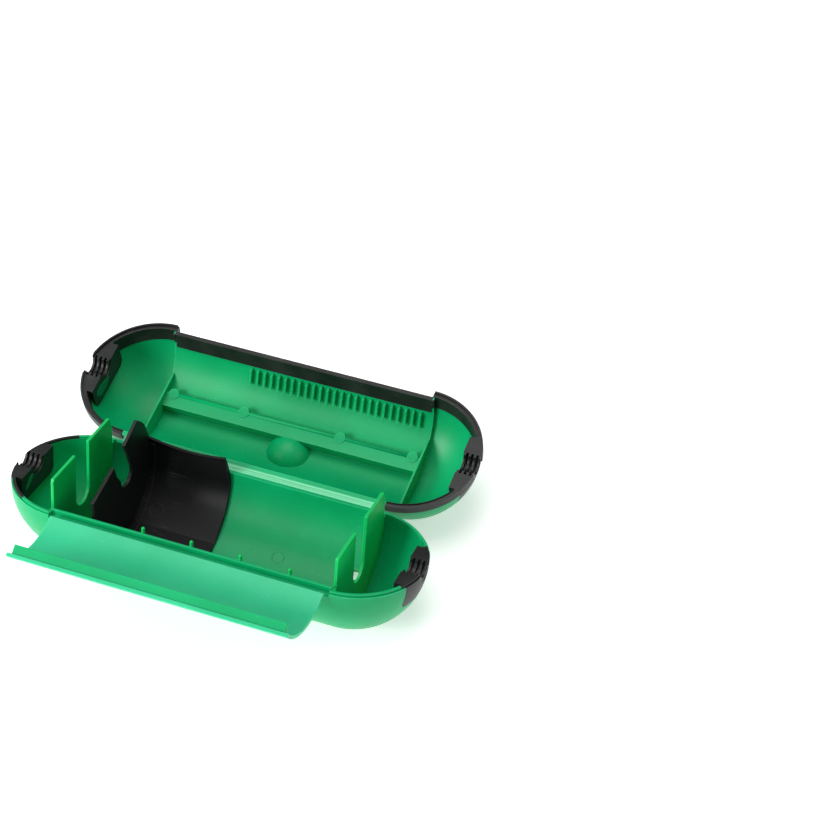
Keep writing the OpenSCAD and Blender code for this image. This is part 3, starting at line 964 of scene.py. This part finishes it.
@dataclass
class LidHalf(GlandedHalf):
    """Upper half: shell, cross plates, fins, pads, rim seal and rubber glands."""

    hub: float = 71.4
    gland_angle: float = 30.0
    liner: tuple = (
        (33.75, -0.45), (33.30, -0.25), (33.25, 3.4), (32.95, 5.6), (32.40, 7.8),
        (32.80, 8.0), (33.30, 7.0), (33.65, 5.0), (33.75, 3.4),
    )
    liner_steps: int = 26
    tab_wall: tuple = (70.9, 72.7)
    tab_depth: tuple = (-32.2, -30.8)
    tab_height: tuple = (2.9, 10.4)
    tab_slope: float = 0.6
    corner_wall: tuple = (71.5, 72.6)
    corner_depth: tuple = (-33.9, -30.8)
    corner_height: tuple = (0.3, 3.4)
    bead_r: float = 1.0
    bead_half: float = 68.6
    bead_steps: int = 18
    centre: float = -1.0
    channel_in: float = 27.1
    bead_angle: float = 67.7
    bead_sunk: float = 0.5
    window: tuple = (
        (-1.5, 8.2), (3.5, 11.4), (9.5, 11.2), (13.4, 7.6), (13.0, 5.4), (8.0, 4.8), (3.0, 6.2),
    )

    def build(self) -> None:
        """Builds the pieces of the upper half."""
        self.soften("lid_shell", Body.LID, Slot.GREEN, 0.55, 3)
        for node in (
            "lid_cross_plate_left", "lid_cross_plate_right", "lid_locating_fins", "lid_ejector_pads",
        ):
            self.soften(node, Body.LID, Slot.GREEN)
        self.soften("lid_hinge_leaf", Body.LID, Slot.FILM)
        self.soften("lid_rim_seal", Body.LID, Slot.RUBBER, 0.25, 2)
        for side, name in ((-1, "left"), (1, "right")):
            self.gland("lid", Body.LID, side, name)
            self._end_liner(side, name)
        self._channel_bead()

    def _end_liner(self, side: int, name: str) -> None:
        """Rubber skin and sealing ridge inside the rim of a round end, and the tab at its corner.

        Args:
            side: 1 for the right end and -1 for the left end.
            name: Name of the side.
        """
        sweep = 90.0 - self.gland_angle
        runs = [
            self.shop.turned(self.liner, self.hub, start, sweep, self.liner_steps)
            for start in (-90.0, self.gland_angle)
        ]
        (y0, y1), (z0, z1) = self.tab_depth, self.tab_height
        tab = self.shop.profile(
            [(y0, z0), (y1, z0), (y1, z1), (y0, z1 - self.tab_slope)], *self.tab_wall
        )
        (y0, y1), (z0, z1) = self.corner_depth, self.corner_height
        corner = self.shop.profile([(y0, z0), (y1, z0), (y1, z1), (y0, z1)], *self.corner_wall)
        mesh = self.shop.join(runs[0], runs[1], tab, corner)
        if side < 0:
            bmesh.ops.scale(mesh, verts=mesh.verts, vec=(-1.0, 1.0, 1.0))
            bmesh.ops.recalc_face_normals(mesh, faces=mesh.faces)
        self.shop.put(mesh, Body.LID)
        self.shop.hand_over(
            mesh, f"lid_end_liner_{name}", Body.LID, Slot.RUBBER, [], edge=0.12, segments=2
        )

    def _channel_bead(self) -> None:
        """The rounded edge along the inner side of the latch channel."""
        mesh = bmesh.new()
        angle = math.radians(self.bead_angle)
        reach = self.channel_in + self.bead_sunk
        axis = (-reach * math.cos(angle), self.centre + reach * math.sin(angle))
        self.shop.rod(mesh, self.bead_r, self.bead_steps, self.bead_half, axis)
        bmesh.ops.recalc_face_normals(mesh, faces=mesh.faces)
        self.shop.put(mesh, Body.LID)
        self.shop.hand_over(mesh, "lid_channel_bead", Body.LID, Slot.GREEN, [], edge=0.0)


@dataclass
class Latch(Part):
    """The curved panel that wraps the lid, with its hook."""

    def build(self) -> None:
        """Builds the panel and its hook."""
        # The panel takes the lighter copy of the green, a painted sheen for the light on it.
        self.soften("latch_panel", Body.LATCH, Slot.GREEN, 0.45, 3, Tint.LIT_PANEL)
        self.soften("latch_hook", Body.LATCH, Slot.GREEN, 0.35, 3)


@dataclass
class CableStop(Part):
    """Black sliding cable stop: notched plate, and a cradle that is faceted inside."""

    inner: float = 32.0
    centre: float = -2.3
    near: float = -51.6
    far: float = -7.65
    corners: tuple = (15.4, -7.0, -18.0, -35.0, -64.0, -98.0, -132.0, -166.5)
    seat: float = 0.8
    foot_len: float = 3.2
    foot_up: float = 0.4
    lean_top: tuple = (-10.3, 9.9)
    lean_foot: tuple = (-7.5, -6.5)
    ring_place: float = -42.0
    ring_angle: float = -51.0
    ring_r: float = 3.6
    ring_t: float = 0.5
    ring_up: float = 0.22

    def build(self) -> None:
        """Builds the plate and the cradle."""
        self.soften("slider_plate", Body.SLIDER, Slot.BLACK, 0.3, 2)
        mesh = self.shop.copy_of("slider_cradle")
        self.shop.lift(mesh, Body.SLIDER)
        self.shop.join(
            mesh,
            self._facets(self.inner, self.near, self.far),
            self._facets(self.inner - self.foot_up, self.near, self.near + self.foot_len),
        )
        self._lean(mesh)
        self._ring(mesh)
        self.shop.put(mesh, Body.SLIDER)
        self.shop.hand_over(
            mesh, "slider_cradle_piece", Body.SLIDER, Slot.BLACK, ["slider_cradle"],
            edge=0.22, segments=2, corner=30.0,
        )

    def _lean(self, mesh: bmesh.types.BMesh) -> None:
        """Cuts the rear corner at the open end back, so that its edge leans.

        Args:
            mesh: The cradle in closed millimetres.
        """
        (x0, z0), (x1, z1) = self.lean_foot, self.lean_top
        bmesh.ops.bisect_plane(
            mesh, geom=[*mesh.verts, *mesh.edges, *mesh.faces], dist=0.001,
            plane_co=(x0, 0.0, z0), plane_no=(z1 - z0, 0.0, x0 - x1),
            clear_outer=True, clear_inner=False,
        )
        bmesh.ops.holes_fill(mesh, edges=[edge for edge in mesh.edges if edge.is_boundary], sides=0)

    def _facets(self, inner: float, start: float, end: float) -> bmesh.types.BMesh:
        """Flat faces along X on the cradle's inner side, seated in its wall.

        Args:
            inner: Radius that their corners lie on.
            start: Where they start along X.
            end: Where they end.

        Returns:
            The bmesh, in closed millimetres.
        """
        middles = [(one + two) / 2 for one, two in zip(self.corners, self.corners[1:])]
        backs = sorted([*self.corners, *middles])
        places = [(inner, angle) for angle in self.corners]
        places += [(self.inner + self.seat, angle) for angle in backs]
        outline = []
        for reach, angle in places:
            turn = math.radians(angle)
            outline.append((reach * math.cos(turn), self.centre + reach * math.sin(turn)))
        return self.shop.profile(outline, start, end)

    def _ring(self, mesh: bmesh.types.BMesh) -> None:
        """The ring that an ejector pin left on the cradle's floor.

        Args:
            mesh: The cradle in closed millimetres.
        """
        ring = self.shop.ring(mesh, self.ring_r, self.ring_t, self.ring_up)
        above = min(angle for angle in self.corners if angle > self.ring_angle)
        below = max(angle for angle in self.corners if angle < self.ring_angle)
        depth = self.inner * math.cos(math.radians((above - below) / 2))
        turn = Matrix.Rotation(math.radians((above + below) / 2 + 90.0), 4, "X")
        deep = Matrix.Translation((0.0, 0.0, -depth))
        stand = Matrix.Translation((self.ring_place, 0.0, self.centre))
        bmesh.ops.transform(mesh, matrix=stand @ turn @ deep, verts=ring)


# ---- Studio ----------------------------------------------------------------


@dataclass
class Studio:
    """Floor, lights, backdrop and camera."""

    places: Places
    eye: tuple = (359.69, -824.14, 649.16)
    ahead: tuple = (-0.2579, 0.7978, -0.5450)
    right: tuple = (0.9353, 0.3475, 0.0661)
    lens: float = 100.17
    film_width: float = 36.0
    surround: float = 0.30
    glow: float = 0.42
    floor_half: float = 6.0
    aim: tuple = (0.0, 0.0, 0.03)

    def build(self) -> None:
        """Builds the studio."""
        self._floor()
        self._world()
        self._light("key", (-0.95, -1.05, 0.70), 0.7, 26.0)
        self._light("top", (-0.15, 0.15, 1.6), 1.2, 16.0)
        self._light("side", (1.1, 0.1, 0.8), 0.6, 2.0)
        self._camera()

    def _floor(self) -> None:
        """A plain pale floor."""
        mesh = bmesh.new()
        bmesh.ops.create_grid(mesh, x_segments=1, y_segments=1, size=self.floor_half)
        data = bpy.data.meshes.new("floor")
        mesh.to_mesh(data)
        mesh.free()
        floor = bpy.data.objects.new("floor", data)
        bpy.context.scene.collection.objects.link(floor)
        graph = Graph("pale_floor")
        grain = graph.noise(graph.place(), 9.0, 2.0)
        tint = graph.mix(grain, tone(0.93, 0.93, 0.93), tone(0.95, 0.95, 0.95))
        glow = {"Emission Color": tone(1.0, 1.0, 1.0), "Emission Strength": self.glow}
        data.materials.append(graph.surface(glow, tint, 0.8 + grain * 0.05, grain * 0.0001, 0.1))

    def _world(self) -> None:
        """A white surround."""
        world = bpy.data.worlds.new("surround")
        world.use_nodes = True
        background = world.node_tree.nodes["Background"]
        background.inputs["Color"].default_value = tone(1.0, 1.0, 1.0)
        background.inputs["Strength"].default_value = self.surround
        bpy.context.scene.world = world

    def _light(self, name: str, place: tuple, size: float, power: float) -> None:
        """A soft light that faces the object.

        Args:
            name: Its name.
            place: Where it stands, in metres.
            size: Width of its square face.
            power: Its power in watts.
        """
        data = bpy.data.lights.new(name, "AREA")
        data.size = size
        data.energy = power
        lamp = bpy.data.objects.new(name, data)
        lamp.location = place
        aim = Vector(self.aim) - Vector(place)
        lamp.rotation_euler = aim.to_track_quat("-Z", "Y").to_euler()
        bpy.context.scene.collection.objects.link(lamp)

    def _camera(self) -> None:
        """The camera, over the right of the latch side."""
        data = bpy.data.cameras.new("camera")
        data.lens = self.lens
        data.sensor_width = self.film_width
        camera = bpy.data.objects.new("camera", data)
        place = self.places.matrices[Body.BASE]
        turn = place.to_3x3().normalized()
        right = (turn @ Vector(self.right)).normalized()
        ahead = (turn @ Vector(self.ahead)).normalized()
        ahead = (ahead - right * ahead.dot(right)).normalized()
        up = right.cross(ahead).normalized()
        axes = Matrix((right, up, -ahead)).transposed().to_4x4()
        camera.matrix_world = Matrix.Translation(place @ Vector(self.eye)) @ axes
        bpy.context.scene.collection.objects.link(camera)
        bpy.context.scene.camera = camera
        bpy.context.scene.view_settings.view_transform = "Standard"


def main() -> None:
    """Builds the sub-assemblies in order."""
    logging.basicConfig(level=logging.INFO, format="%(name)s: %(message)s")
    places = Places()
    shop = Workshop(places, Finishes())
    for assembly in (BaseHalf(shop), LidHalf(shop), Latch(shop), CableStop(shop)):
        assembly.build()
    Studio(places).build()
    LOG.info("%d pieces", shop.count)


if __name__ == "__main__":
    main()
